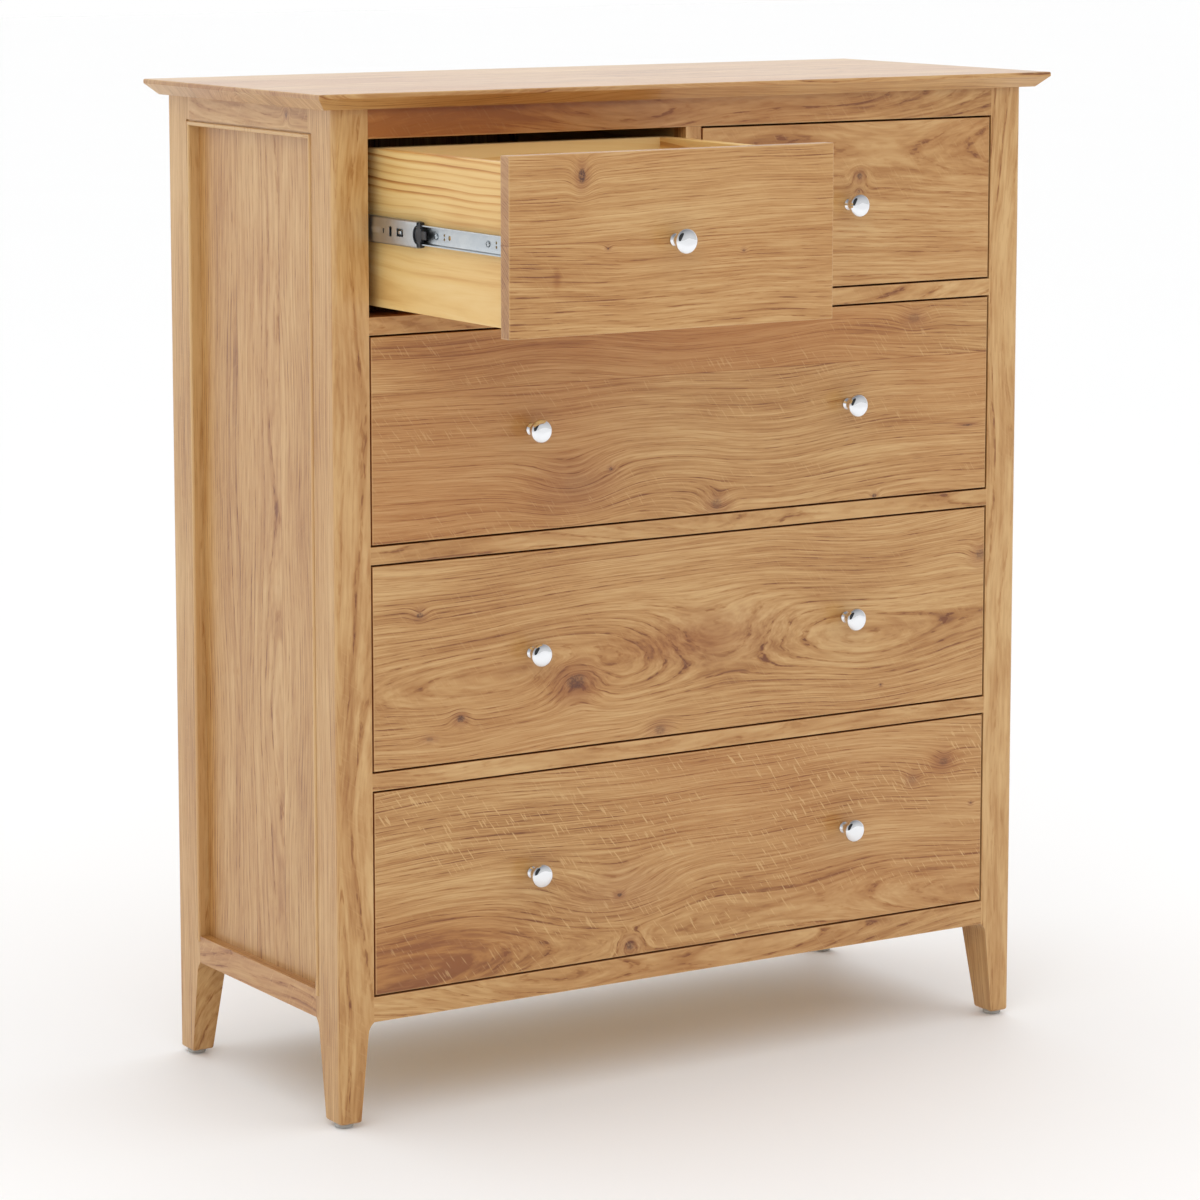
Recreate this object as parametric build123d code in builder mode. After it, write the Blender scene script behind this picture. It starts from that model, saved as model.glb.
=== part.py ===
from build123d import *
import os

# Tall oak chest of drawers: two short drawers side by side over three wide ones, in a frame of
# four legs and rails, with frame-and-panel sides and a bevelled top. Every drawer is a pine box
# behind an oak front and runs on a pair of three-part ball-bearing slides. X is to the right as
# one faces the drawers, Y to the back, Z up, and the floor is Z = 0. The top left drawer is
# modelled pulled open. The origin is under the middle of the chest's box, that drawer counted.

# Driving dimensions, mm ---------------------------------------------------------------------

# The whole
top_width = 900.0
top_depth = 385.0
total_height = 1050.0

# Top
top_thickness = 16.0
top_overhang_side = 25.0
top_overhang_front = 20.0
top_overhang_back = 5.0
top_nose_height = 4.5
top_bevel_angle = 46.0
top_nose_round = 1.6
top_bevel_arris = 0.8

# Legs
leg_width = 40.0
leg_depth = 50.0
leg_corner_round = 5.0
foot_width = 24.0
foot_depth = 30.0
foot_round = 3.0
cove_reach = 6.5
cove_height = 11.0
glide_radius = 10.0
glide_height = 5.0
glide_round = 1.5

# Front frame
shoulder_height = 108.0
bottom_rail_height = 26.0
top_rail_height = 30.0
rail_thickness = 22.0
drawer_rail_height = 18.0
drawer_rail_depth = 60.0
frame_arris = 0.5
small_opening_height = 177.0
wide_rows = 3
centre_stile_width = 19.0

# Joints of the frame
tenon_length = 15.0
tenon_thickness = 8.0
tenon_shoulder = 5.0
stile_tenon_length = 8.0
drawer_rail_tenon_depth = 26.0

# Sides
side_rail_thickness = 28.0
side_bottom_rail_height = 29.0
side_top_rail_height = 31.0
panel_thickness = 8.0
panel_recess = 11.0
panel_groove = 8.0
panel_float = 1.0
bead_width = 5.0
bead_proud = 1.3
bead_seat = 8.0
bead_run_past = 6.0
bead_joint_gap = 0.2
bead_round = 2.25
quirk = 1.5

# Back
back_panel_thickness = 6.0
back_rebate = 10.0
back_rail_thickness = 18.0

# Drawers
drawer_gap = 2.0
front_thickness = 15.0
front_arris = 0.8
box_rear_clearance = 64.0
box_inset = 8.0
side_thickness = 12.0
box_arris = 1.2
front_housing = 6.0
back_housing = 4.0
bottom_thickness = 6.0
bottom_groove = 5.0
bottom_lift = 10.0
open_short_of_stop = 3.0

# Knobs
knob_head_radius = 12.5
knob_neck_radius = 4.0
knob_foot_radius = 6.3
knob_foot_height = 3.0
knob_neck_end = 15.0
knob_rim = 20.0
knob_underside_radius = 10.0
knob_crown_radius = 7.5
knob_projection = 25.0
screw_radius = 2.0
screw_clearance = 0.25
thread_clearance = 0.05
screw_reach = 12.0
screw_head_radius = 4.2
screw_head_height = 2.4

# Slides
slide_thickness = 12.7
slide_setback = 2.0
slide_end_clearance = 3.0
slide_wall = 1.2
slide_corner = 1.08
outer_half_height = 17.5
outer_lip_clearance = 2.7
middle_web = 3.0
middle_lip_clearance = 2.2
middle_half_height = 13.4
middle_setback = 26.0
middle_end_clearance = 4.0
inner_lip = 5.5
inner_half_height = 9.8
slide_hole_radius = 2.2
slide_hole_inset = 37.0
slide_hole_count = 3
batten_height = 45.0

# Work allowances: how far a cut runs past a face, and how near two places must be to be the same
overcut = 1.0
same_place = 0.01

# Places worked out from them ------------------------------------------------------------------

case_width = top_width - 2 * top_overhang_side
case_depth = top_depth - top_overhang_front - top_overhang_back
case_top = total_height - top_thickness

# The drawer boxes and their slides fill the depth behind the fronts.
box_length = case_depth - back_panel_thickness - front_thickness - box_rear_clearance
slide_length = box_length - slide_setback - slide_end_clearance
middle_length = slide_length - middle_setback - middle_end_clearance
outer_lip = slide_thickness - outer_lip_clearance
middle_lip = slide_thickness - middle_lip_clearance
slide_hole_pitch = (slide_length - 2 * slide_hole_inset) / (slide_hole_count - 1)
open_pull = slide_length - open_short_of_stop

# The open drawer's knob is the foremost point and the top's rear edge the rearmost.
front_y = (open_pull + knob_projection - case_depth - top_overhang_back) / 2
back_y = front_y + case_depth
leg_back_y = front_y + leg_depth
rear_leg_y = back_y - leg_depth

half_case = case_width / 2
half_opening = half_case - leg_width
half_stile = centre_stile_width / 2
knob_x = (half_stile + half_opening) / 2
panel_face = half_case - panel_recess
panel_inside = panel_face - panel_thickness

bottom_rail_top = shoulder_height + bottom_rail_height
top_rail_bottom = case_top - top_rail_height
small_opening_bottom = top_rail_bottom - small_opening_height
wide_stack = small_opening_bottom - bottom_rail_top
wide_opening_height = wide_stack / wide_rows - drawer_rail_height
side_panel_bottom = shoulder_height + side_bottom_rail_height
side_panel_top = case_top - side_top_rail_height
back_rail_front = back_y - back_panel_thickness - back_rail_thickness

slide_front_y = front_y + front_thickness + slide_setback
box_back_y = front_y + front_thickness + box_length

SIDES = (("left", -1), ("right", 1))
ENDS = (("front", -1), ("back", 1))

# Each opening of the front: its drawer's name, left, right, bottom, top, and its knobs' places.
small_slide_z = small_opening_bottom + small_opening_height / 2
openings = [
    ("drawer_top_left", -half_opening, -half_stile, small_opening_bottom, top_rail_bottom,
     (-knob_x,)),
    ("drawer_top_right", half_stile, half_opening, small_opening_bottom, top_rail_bottom,
     (knob_x,)),
]
rail_bottoms = []
for row in range(wide_rows):
    opening_bottom = bottom_rail_top + row * (wide_opening_height + drawer_rail_height)
    opening_top = opening_bottom + wide_opening_height
    row_name = ("lower", "middle", "upper")[row]
    openings.append(("drawer_" + row_name, -half_opening, half_opening,
                     opening_bottom, opening_top, (-knob_x, knob_x)))
    rail_bottoms.append((row_name + "_drawer_rail", opening_top))
slide_heights = [(low + high) / 2 for name, left, right, low, high, knobs in openings[1:]]


def block(x, y, z, mode=Mode.ADD):
    """A box between two values on each axis, given in either order."""
    low = [min(pair) for pair in (x, y, z)]
    size = [abs(pair[1] - pair[0]) for pair in (x, y, z)]
    with Locations(tuple(low)):
        Box(*size, align=(Align.MIN, Align.MIN, Align.MIN), mode=mode)


def slide_channel(wall_x, inward, web, lip, half_height, y, length, z, holes=0):
    """One rolled channel of a slide, with its web and lips measured from the wall inward."""
    open_way = 1 if lip > web else -1
    hollow = half_height - slide_wall
    with BuildPart() as channel:
        block((wall_x + inward * web, wall_x + inward * lip), (y, y + length),
              (z - half_height, z + half_height))
        web_edges = channel.edges().filter_by(Axis.Y).sort_by(
            lambda edge: abs(edge.center().X - (wall_x + inward * web)))[:2]
        fillet(web_edges, radius=slide_corner)
        block((wall_x + inward * (web + open_way * slide_wall), wall_x + inward * lip),
              (y, y + length), (z - hollow, z + hollow), mode=Mode.SUBTRACT)
        for hole in range(holes):
            hole_y = y + slide_hole_inset + hole * slide_hole_pitch
            with Locations(Plane((wall_x + inward * web, hole_y, z), z_dir=(1, 0, 0))):
                Cylinder(slide_hole_radius, 2 * (slide_wall + overcut), mode=Mode.SUBTRACT)
    return channel.part


os.makedirs("parts", exist_ok=True)

# Top ------------------------------------------------------------------------------------------

with BuildPart() as top_panel:
    top_centre_y = (front_y - top_overhang_front + back_y + top_overhang_back) / 2
    with BuildSketch(Plane((0, top_centre_y, total_height - top_nose_height))) as top_outline:
        Rectangle(top_width, top_depth)
    extrude(amount=top_nose_height)
    extrude(top_outline.sketch, amount=-(top_thickness - top_nose_height), taper=top_bevel_angle)
    nose_edges = top_panel.faces().sort_by(Axis.Z)[-1].edges()
    fillet(nose_edges, radius=top_nose_round)
    bevel_edges = top_panel.edges().filter_by(
        lambda edge: abs(edge.center().Z - (total_height - top_nose_height)) < same_place)
    fillet(bevel_edges, radius=top_bevel_arris)
top_panel.part.label = "top_panel"
export_step(top_panel.part, "parts/top_panel.step")

# Legs -----------------------------------------------------------------------------------------


def leg_outline(view, outer, inner_way, width, foot):
    """One view of a leg: straight outer face, and a cove and a taper inside its lower part."""
    shoulder = outer + inner_way * width
    taper_top = (shoulder - inner_way * cove_reach, shoulder_height - cove_height)
    taper_foot = (outer + inner_way * foot, glide_height)
    taper_way = (taper_top[0] - taper_foot[0], taper_top[1] - taper_foot[1])
    with BuildSketch(view) as outline:
        with BuildLine():
            Polyline((shoulder, shoulder_height), (shoulder, case_top), (outer, case_top),
                     (outer, glide_height), taper_foot, taper_top)
            TangentArc(taper_top, (shoulder, shoulder_height), tangent=taper_way)
        make_face()
    return outline.sketch


for end_name, end in ENDS:
    for side_name, side in SIDES:
        outer_x = side * half_case
        inner_x = side * half_opening
        outer_y = front_y if end < 0 else back_y
        inner_y = leg_back_y if end < 0 else rear_leg_y
        bead_y = inner_y + end * bead_width
        with BuildPart() as leg:
            front_view = Plane.XZ.offset(-front_y)
            side_view = Plane.YZ.offset(side * half_opening)
            extrude(leg_outline(front_view, outer_x, -side, leg_width, foot_width),
                    amount=-case_depth)
            extrude(leg_outline(side_view, outer_y, -end, leg_depth, foot_depth),
                    amount=side * leg_width, mode=Mode.INTERSECT)
            corner = leg.edges().filter_by(Axis.Z).sort_by(
                lambda edge: abs(edge.center().X - outer_x) + abs(edge.center().Y - outer_y))[0]
            fillet(corner, radius=leg_corner_round)
            fillet(leg.faces().sort_by(Axis.Z)[0].edges(), radius=foot_round)
            # Groove for the side panel, which the side rails' tenons share
            block((side * panel_inside, side * panel_face), (inner_y, inner_y + end * panel_groove),
                  (shoulder_height + tenon_shoulder, case_top - tenon_shoulder),
                  mode=Mode.SUBTRACT)
            # Mortises for the side rails
            for rail_low, rail_high in ((shoulder_height, side_panel_bottom),
                                        (side_panel_top, case_top)):
                low, high = rail_low + tenon_shoulder, rail_high - tenon_shoulder
                block((side * panel_inside, side * panel_face),
                      (inner_y, inner_y + end * tenon_length), (low, high), mode=Mode.SUBTRACT)
            # Seat of the bead, and the quirk beside it
            bead_bottom = side_panel_bottom - bead_run_past
            bead_top = side_panel_top + bead_width
            past_face = outer_x + side * overcut
            block((side * (half_case - bead_seat + bead_proud), past_face), (inner_y, bead_y),
                  (bead_bottom, bead_top), mode=Mode.SUBTRACT)
            block((side * (half_case - quirk), past_face), (inner_y, bead_y + end * quirk),
                  (bead_bottom, bead_top + quirk), mode=Mode.SUBTRACT)
            if end < 0:
                # Mortises for the top and bottom rails and the drawer rails
                rail_y = front_y + (rail_thickness - tenon_thickness) / 2
                for low, high in ((shoulder_height, bottom_rail_top), (top_rail_bottom, case_top)):
                    block((inner_x, inner_x + side * tenon_length),
                          (rail_y, rail_y + tenon_thickness),
                          (low + tenon_shoulder, high - tenon_shoulder), mode=Mode.SUBTRACT)
                for rail_name, rail_bottom in rail_bottoms:
                    tenon_y = front_y + (leg_depth - drawer_rail_tenon_depth) / 2
                    tenon_z = rail_bottom + (drawer_rail_height - tenon_thickness) / 2
                    block((inner_x, inner_x + side * tenon_length),
                          (tenon_y, tenon_y + drawer_rail_tenon_depth),
                          (tenon_z, tenon_z + tenon_thickness), mode=Mode.SUBTRACT)
            else:
                # Rebate for the back panel and mortises for the back rails
                block((inner_x, inner_x + side * back_rebate),
                      (back_y - back_panel_thickness, back_y),
                      (shoulder_height, case_top), mode=Mode.SUBTRACT)
                rail_y = back_rail_front + (back_rail_thickness - tenon_thickness) / 2
                for low, high in ((shoulder_height, bottom_rail_top), (top_rail_bottom, case_top)):
                    block((inner_x, inner_x + side * tenon_length),
                          (rail_y, rail_y + tenon_thickness),
                          (low + tenon_shoulder, high - tenon_shoulder), mode=Mode.SUBTRACT)
        leg.part.label = f"leg_{end_name}_{side_name}"
        export_step(leg.part, f"parts/{leg.part.label}.step")

with BuildPart() as foot_glides:
    for end_name, end in ENDS:
        for side_name, side in SIDES:
            glide_x = side * (half_case - foot_width / 2)
            glide_y = front_y + foot_depth / 2 if end < 0 else back_y - foot_depth / 2
            with Locations((glide_x, glide_y, glide_height / 2)):
                Cylinder(glide_radius, glide_height)
    fillet(foot_glides.edges().group_by(Axis.Z)[0], radius=glide_round)
foot_glides.part.label = "foot_glides"
export_step(foot_glides.part, "parts/foot_glides.step")

# Front frame ----------------------------------------------------------------------------------

for rail_name, low, high in (("front_bottom_rail", shoulder_height, bottom_rail_top),
                             ("front_top_rail", top_rail_bottom, case_top)):
    with BuildPart() as rail:
        block((-half_opening, half_opening), (front_y, front_y + rail_thickness), (low, high))
        fillet(rail.edges().filter_by(Axis.X).group_by(Axis.Y)[0], radius=frame_arris)
        tenon_y = front_y + (rail_thickness - tenon_thickness) / 2
        block((-half_opening - tenon_length, half_opening + tenon_length),
              (tenon_y, tenon_y + tenon_thickness), (low + tenon_shoulder, high - tenon_shoulder))
        if low == top_rail_bottom:
            block((-half_stile + tenon_shoulder, half_stile - tenon_shoulder),
                  (tenon_y, tenon_y + tenon_thickness), (low, low + stile_tenon_length),
                  mode=Mode.SUBTRACT)
    rail.part.label = rail_name
    export_step(rail.part, f"parts/{rail_name}.step")

for rail_name, rail_bottom in rail_bottoms:
    with BuildPart() as drawer_rail:
        rail_top = rail_bottom + drawer_rail_height
        block((-half_opening, half_opening), (front_y, front_y + drawer_rail_depth),
              (rail_bottom, rail_top))
        fillet(drawer_rail.edges().filter_by(Axis.X).group_by(Axis.Y)[0], radius=frame_arris)
        tenon_y = front_y + (leg_depth - drawer_rail_tenon_depth) / 2
        tenon_z = rail_bottom + (drawer_rail_height - tenon_thickness) / 2
        block((-half_opening - tenon_length, half_opening + tenon_length),
              (tenon_y, tenon_y + drawer_rail_tenon_depth), (tenon_z, tenon_z + tenon_thickness))
        if rail_name == "upper_drawer_rail":
            stile_y = front_y + (rail_thickness - tenon_thickness) / 2
            block((-half_stile + tenon_shoulder, half_stile - tenon_shoulder),
                  (stile_y, stile_y + tenon_thickness), (rail_top - stile_tenon_length, rail_top),
                  mode=Mode.SUBTRACT)
    drawer_rail.part.label = rail_name
    export_step(drawer_rail.part, f"parts/{rail_name}.step")

with BuildPart() as centre_stile:
    block((-half_stile, half_stile), (front_y, front_y + rail_thickness),
          (small_opening_bottom, top_rail_bottom))
    fillet(centre_stile.edges().filter_by(Axis.Z).group_by(Axis.Y)[0], radius=frame_arris)
    tenon_y = front_y + (rail_thickness - tenon_thickness) / 2
    block((-half_stile + tenon_shoulder, half_stile - tenon_shoulder),
          (tenon_y, tenon_y + tenon_thickness),
          (small_opening_bottom - stile_tenon_length, top_rail_bottom + stile_tenon_length))
centre_stile.part.label = "centre_stile"
export_step(centre_stile.part, "parts/centre_stile.step")

with BuildPart() as centre_partition:
    block((-half_stile, half_stile), (front_y + rail_thickness, back_rail_front),
          (small_opening_bottom, case_top))
centre_partition.part.label = "centre_partition"
export_step(centre_partition.part, "parts/centre_partition.step")

# Sides ----------------------------------------------------------------------------------------

for side_name, side in SIDES:
    for rail_name, low, high, groove in (
            ("side_bottom_rail", shoulder_height, side_panel_bottom,
             (side_panel_bottom - panel_groove, side_panel_bottom)),
            ("side_top_rail", side_panel_top, case_top,
             (side_panel_top, side_panel_top + panel_groove))):
        with BuildPart() as side_rail:
            block((side * (half_case - side_rail_thickness), side * half_case),
                  (leg_back_y, rear_leg_y), (low, high))
            block((side * panel_inside, side * panel_face),
                  (leg_back_y - tenon_length, rear_leg_y + tenon_length),
                  (low + tenon_shoulder, high - tenon_shoulder))
            block((side * panel_inside, side * panel_face),
                  (leg_back_y - tenon_length, rear_leg_y + tenon_length), groove,
                  mode=Mode.SUBTRACT)
            if low == side_panel_top:
                block((side * (half_case - bead_seat + bead_proud), side * (half_case + overcut)),
                      (leg_back_y, rear_leg_y), (low, low + bead_width), mode=Mode.SUBTRACT)
                block((side * (half_case - quirk), side * (half_case + overcut)),
                      (leg_back_y, rear_leg_y), (low, low + bead_width + quirk),
                      mode=Mode.SUBTRACT)
        side_rail.part.label = f"{rail_name}_{side_name}"
        export_step(side_rail.part, f"parts/{side_rail.part.label}.step")

    with BuildPart() as side_panel:
        tongue = panel_groove - panel_float
        block((side * panel_inside, side * panel_face), (leg_back_y - tongue, rear_leg_y + tongue),
              (side_panel_bottom - tongue, side_panel_top + tongue))
    side_panel.part.label = f"side_panel_{side_name}"
    export_step(side_panel.part, f"parts/{side_panel.part.label}.step")

with BuildPart() as side_beads:
    bead_bottom = side_panel_bottom - bead_run_past
    bead_top = side_panel_top + bead_width
    for side_name, side in SIDES:
        for end_name, end in ENDS:
            inner_y = leg_back_y if end < 0 else rear_leg_y
            bead_y = inner_y + end * bead_width
            with BuildSketch(Plane.YZ.offset(side * (half_case - bead_seat + bead_proud))):
                with BuildLine():
                    Polyline((inner_y, bead_bottom), (bead_y, bead_bottom),
                             (bead_y, bead_top - bead_joint_gap),
                             (inner_y, side_panel_top - bead_joint_gap), close=True)
                make_face()
            extrude(amount=side * bead_seat)
        with BuildSketch(Plane.YZ.offset(side * (half_case - bead_seat + bead_proud))):
            with BuildLine():
                Polyline((leg_back_y, side_panel_top), (rear_leg_y, side_panel_top),
                         (rear_leg_y + bead_width, bead_top), (leg_back_y - bead_width, bead_top),
                         close=True)
            make_face()
        extrude(amount=side * bead_seat)
        bead_face_x = side * (half_case + bead_proud)
        for direction in (Axis.Z, Axis.Y):
            long_edges = side_beads.edges().filter_by(direction).filter_by(
                lambda edge: abs(edge.center().X - bead_face_x) < same_place
                and edge.length > leg_depth)
            fillet(long_edges, radius=bead_round)
side_beads.part.label = "side_beads"
export_step(side_beads.part, "parts/side_beads.step")

with BuildPart() as slide_battens:
    for slide_z in slide_heights:
        for side_name, side in SIDES:
            block((side * half_opening, side * panel_inside), (leg_back_y, rear_leg_y),
                  (slide_z - batten_height / 2, slide_z + batten_height / 2))
slide_battens.part.label = "slide_battens"
export_step(slide_battens.part, "parts/slide_battens.step")

# Back -----------------------------------------------------------------------------------------

with BuildPart() as back_panel:
    block((-half_opening - back_rebate, half_opening + back_rebate),
          (back_y - back_panel_thickness, back_y), (shoulder_height, case_top))
back_panel.part.label = "back_panel"
export_step(back_panel.part, "parts/back_panel.step")

for rail_name, low, high in (("back_bottom_rail", shoulder_height, bottom_rail_top),
                             ("back_top_rail", top_rail_bottom, case_top)):
    with BuildPart() as back_rail:
        block((-half_opening, half_opening),
              (back_rail_front, back_rail_front + back_rail_thickness), (low, high))
        tenon_y = back_rail_front + (back_rail_thickness - tenon_thickness) / 2
        block((-half_opening - tenon_length, half_opening + tenon_length),
              (tenon_y, tenon_y + tenon_thickness), (low + tenon_shoulder, high - tenon_shoulder))
    back_rail.part.label = rail_name
    export_step(back_rail.part, f"parts/{rail_name}.step")

# Fixed members of the slides ------------------------------------------------------------------

with BuildPart() as slide_outer_members:
    for name, left, right, low, high, knobs in openings:
        for wall_x, inward in ((left, 1), (right, -1)):
            add(slide_channel(wall_x, inward, 0, outer_lip, outer_half_height,
                              slide_front_y, slide_length, (low + high) / 2))
slide_outer_members.part.label = "slide_outer_members"
export_step(slide_outer_members.part, "parts/slide_outer_members.step")

# Drawers --------------------------------------------------------------------------------------

for name, left, right, low, high, knobs in openings:
    pull = open_pull if name == "drawer_top_left" else 0.0
    face_y = front_y - pull
    rear_y = box_back_y - pull
    front_back_y = face_y + front_thickness
    box_low = low + drawer_gap + box_inset
    box_high = high - drawer_gap - box_inset
    knob_z = (low + high) / 2
    box_left = left + slide_thickness
    box_right = right - slide_thickness
    inside_left = box_left + side_thickness
    inside_right = box_right - side_thickness
    groove_z = (box_low + bottom_lift, box_low + bottom_lift + bottom_thickness)
    bottom_x = (inside_left - bottom_groove, inside_right + bottom_groove)
    bottom_y = (front_back_y - bottom_groove, rear_y - side_thickness + bottom_groove)

    with BuildPart() as front:
        block((left + drawer_gap, right - drawer_gap), (face_y, front_back_y),
              (low + drawer_gap, high - drawer_gap))
        fillet(front.faces().sort_by(Axis.Y)[0].edges(), radius=front_arris)
        for wall in ((box_left, inside_left), (inside_right, box_right)):
            block(wall, (front_back_y - front_housing, front_back_y), (box_low, box_high),
                  mode=Mode.SUBTRACT)
        block((inside_left, inside_right), (bottom_y[0], front_back_y), groove_z,
              mode=Mode.SUBTRACT)
        for place in knobs:
            with Locations(Plane((place, face_y, knob_z), z_dir=(0, -1, 0))):
                Hole(screw_radius + screw_clearance)
    front.part.label = name + "_front"
    export_step(front.part, f"parts/{name}_front.step")

    with BuildPart() as box_sides:
        for outside, inside, way in ((box_left, inside_left, 1), (box_right, inside_right, -1)):
            block((outside, inside), (front_back_y - front_housing, rear_y), (box_low, box_high))
        fillet(box_sides.edges().filter_by(Axis.Y).group_by(Axis.Z)[-1], radius=box_arris)
        for outside, inside, way in ((box_left, inside_left, 1), (box_right, inside_right, -1)):
            block((inside - way * back_housing, inside), (rear_y - side_thickness, rear_y),
                  (box_low, box_high), mode=Mode.SUBTRACT)
            block((inside - way * bottom_groove, inside), (bottom_y[0], rear_y - side_thickness),
                  groove_z, mode=Mode.SUBTRACT)
    box_sides.part.label = name + "_sides"
    export_step(box_sides.part, f"parts/{name}_sides.step")

    with BuildPart() as box_back:
        block((inside_left - back_housing, inside_right + back_housing),
              (rear_y - side_thickness, rear_y), (box_low, box_high))
        fillet(box_back.edges().filter_by(Axis.X).group_by(Axis.Z)[-1], radius=box_arris)
        block((inside_left - back_housing, inside_right + back_housing),
              (rear_y - side_thickness, bottom_y[1]), groove_z, mode=Mode.SUBTRACT)
    box_back.part.label = name + "_back"
    export_step(box_back.part, f"parts/{name}_back.step")

    with BuildPart() as box_bottom:
        block((inside_left, inside_right), bottom_y, groove_z)
        block(bottom_x, (bottom_y[0] + front_housing, rear_y - side_thickness), groove_z)
    box_bottom.part.label = name + "_bottom"
    export_step(box_bottom.part, f"parts/{name}_bottom.step")

    with BuildPart() as drawer_knobs:
        for place in knobs:
            axis_plane = Plane((place, face_y, knob_z), x_dir=(1, 0, 0), z_dir=(0, 0, 1))
            with BuildSketch(axis_plane) as knob_half:
                with BuildLine():
                    Polyline((screw_radius + thread_clearance, 0), (knob_foot_radius, 0),
                             (knob_foot_radius, -knob_foot_height / 2),
                             (knob_neck_radius, -knob_foot_height),
                             (knob_neck_radius, -knob_foot_height * 2))
                    Bezier((knob_neck_radius, -knob_foot_height * 2),
                           (knob_neck_radius, -knob_neck_end),
                           (knob_underside_radius, -knob_neck_end),
                           (knob_head_radius, -knob_rim + knob_foot_height / 2))
                    Line((knob_head_radius, -knob_rim + knob_foot_height / 2),
                         (knob_head_radius, -knob_rim))
                    Bezier((knob_head_radius, -knob_rim),
                           (knob_head_radius, -knob_projection + knob_foot_height / 2),
                           (knob_crown_radius, -knob_projection), (0, -knob_projection))
                    Polyline((0, -knob_projection), (0, -screw_reach - thread_clearance),
                             (screw_radius + thread_clearance, -screw_reach - thread_clearance),
                             (screw_radius + thread_clearance, 0))
                make_face()
            revolve(knob_half.sketch, axis=Axis((place, face_y, knob_z), (0, 1, 0)))
            with BuildSketch(axis_plane) as screw_half:
                with BuildLine():
                    Polyline((0, -screw_reach), (screw_radius, -screw_reach),
                             (screw_radius, front_thickness), (screw_head_radius, front_thickness),
                             (screw_head_radius, front_thickness + screw_head_height / 2),
                             (screw_radius, front_thickness + screw_head_height),
                             (0, front_thickness + screw_head_height), close=True)
                make_face()
            revolve(screw_half.sketch, axis=Axis((place, face_y, knob_z), (0, 1, 0)))
    drawer_knobs.part.label = name + "_knobs"
    export_step(drawer_knobs.part, f"parts/{name}_knobs.step")

    with BuildPart() as slide_middle:
        for wall_x, inward in ((left, 1), (right, -1)):
            add(slide_channel(wall_x, inward, middle_web, middle_lip, middle_half_height,
                              slide_front_y + middle_setback - pull / 2, middle_length, knob_z))
    slide_middle.part.label = name + "_slide_middle"
    export_step(slide_middle.part, f"parts/{name}_slide_middle.step")

    with BuildPart() as slide_inner:
        for wall_x, inward in ((left, 1), (right, -1)):
            add(slide_channel(wall_x, inward, slide_thickness, inner_lip, inner_half_height,
                              slide_front_y - pull, slide_length, knob_z, holes=slide_hole_count))
    slide_inner.part.label = name + "_slide_inner"
    export_step(slide_inner.part, f"parts/{name}_slide_inner.step")
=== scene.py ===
import math

import bpy
from mathutils import Matrix, Vector


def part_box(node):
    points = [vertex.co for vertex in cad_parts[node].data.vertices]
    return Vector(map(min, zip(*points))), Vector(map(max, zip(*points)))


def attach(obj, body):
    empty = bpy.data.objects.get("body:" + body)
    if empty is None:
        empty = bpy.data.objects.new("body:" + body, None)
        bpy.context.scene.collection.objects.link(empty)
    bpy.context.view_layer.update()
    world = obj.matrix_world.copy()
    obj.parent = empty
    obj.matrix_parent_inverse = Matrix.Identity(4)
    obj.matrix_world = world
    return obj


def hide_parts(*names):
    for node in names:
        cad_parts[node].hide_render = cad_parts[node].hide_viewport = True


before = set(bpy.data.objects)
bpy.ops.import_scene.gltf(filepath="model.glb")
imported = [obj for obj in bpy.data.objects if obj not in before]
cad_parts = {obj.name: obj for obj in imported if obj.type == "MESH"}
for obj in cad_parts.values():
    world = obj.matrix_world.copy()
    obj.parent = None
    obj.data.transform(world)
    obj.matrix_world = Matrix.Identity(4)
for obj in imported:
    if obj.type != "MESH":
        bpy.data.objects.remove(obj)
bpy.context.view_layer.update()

bl_info = {
    "name": "Oak Chest of Drawers",
    "version": (1, 0, 0),
    "blender": (4, 5, 0),
    "location": "View3D > Sidebar > Chest",
    "description": "Finishes and fittings of a tall oak chest with five drawers",
    "category": "Object",
}

MM = 0.001
DRAWERS = ("drawer_top_left", "drawer_top_right", "drawer_upper", "drawer_middle", "drawer_lower")


def srgb(red, green, blue):
    """A colour as a shader takes it, from the three numbers of a paint or stain card, 0 to 255."""
    shares = [value / 255 for value in (red, green, blue)]
    linear = [s / 12.92 if s <= 0.04045 else ((s + 0.055) / 1.055) ** 2.4 for s in shares]
    return (*linear, 1.0)


# Shader graphs -------------------------------------------------------------------------------


def arithmetic(operation, swapped=False):
    """A method that puts a math node after a wire."""
    def method(self, other=0.0):
        first, second = (other, self) if swapped else (self, other)
        return self.graph.node("Math", {"operation": operation}, {0: first, 1: second})
    return method


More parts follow.
